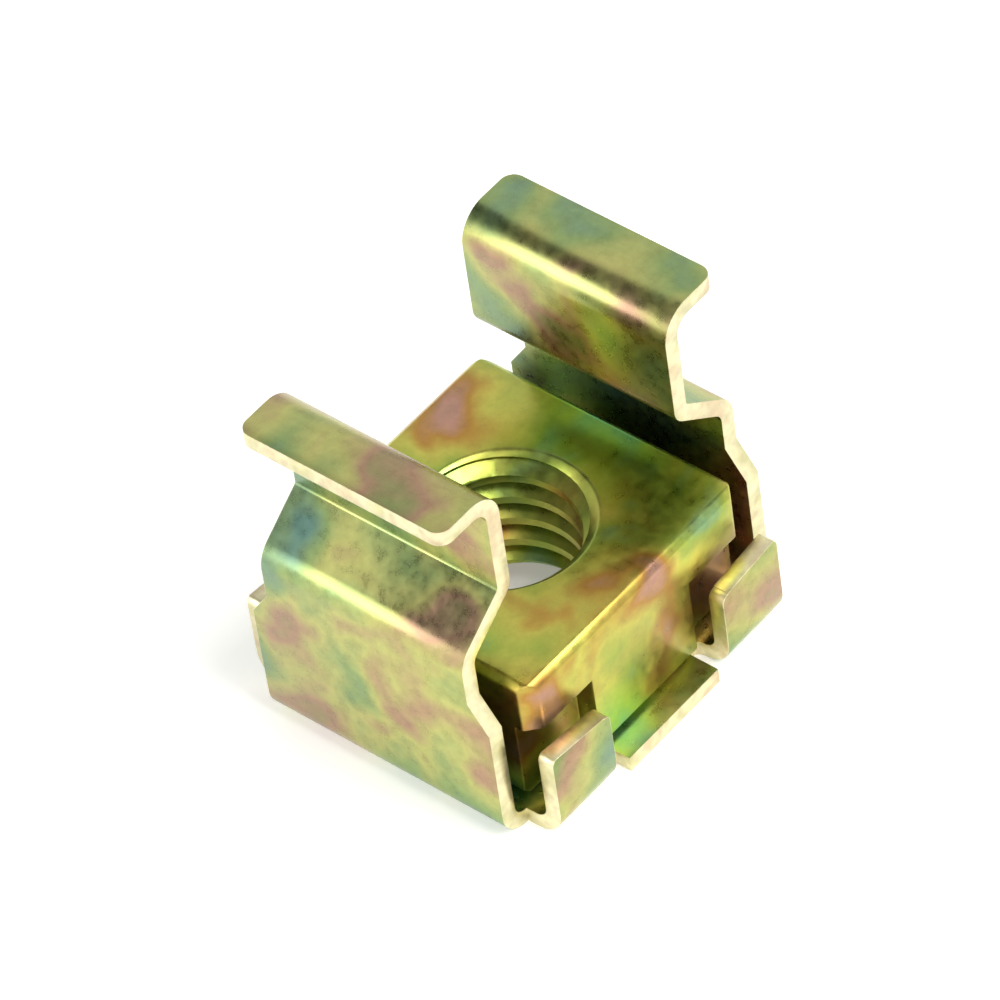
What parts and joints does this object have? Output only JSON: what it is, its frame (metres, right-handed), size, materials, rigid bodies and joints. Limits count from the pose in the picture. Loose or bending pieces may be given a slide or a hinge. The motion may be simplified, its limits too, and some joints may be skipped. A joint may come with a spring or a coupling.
{
  "type": "rack cage nut",
  "caption": "Cage nut for a square rack hole: a threaded square nut held loosely in a folded spring-steel cage whose ears clip behind the panel's edge.",
  "frame": {"origin": "centre of the screw clearance hole, on the underside of the cage's base", "axes": "+Z along the screw axis, from the base up to the ears; the legs and ears stand at +X and -X, the tabs and tongues at +Y and -Y"},
  "size_m": [0.0138, 0.0126, 0.0138],
  "materials": {
    "cage_steel": "yellow chromate over zinc, bright on the bends",
    "nut_steel": "yellow chromate over zinc, satin"
  },
  "bodies": {
    "root": {"spring_cage": "cage_steel", "square_nut": "nut_steel"}
  },
  "joints": []
}
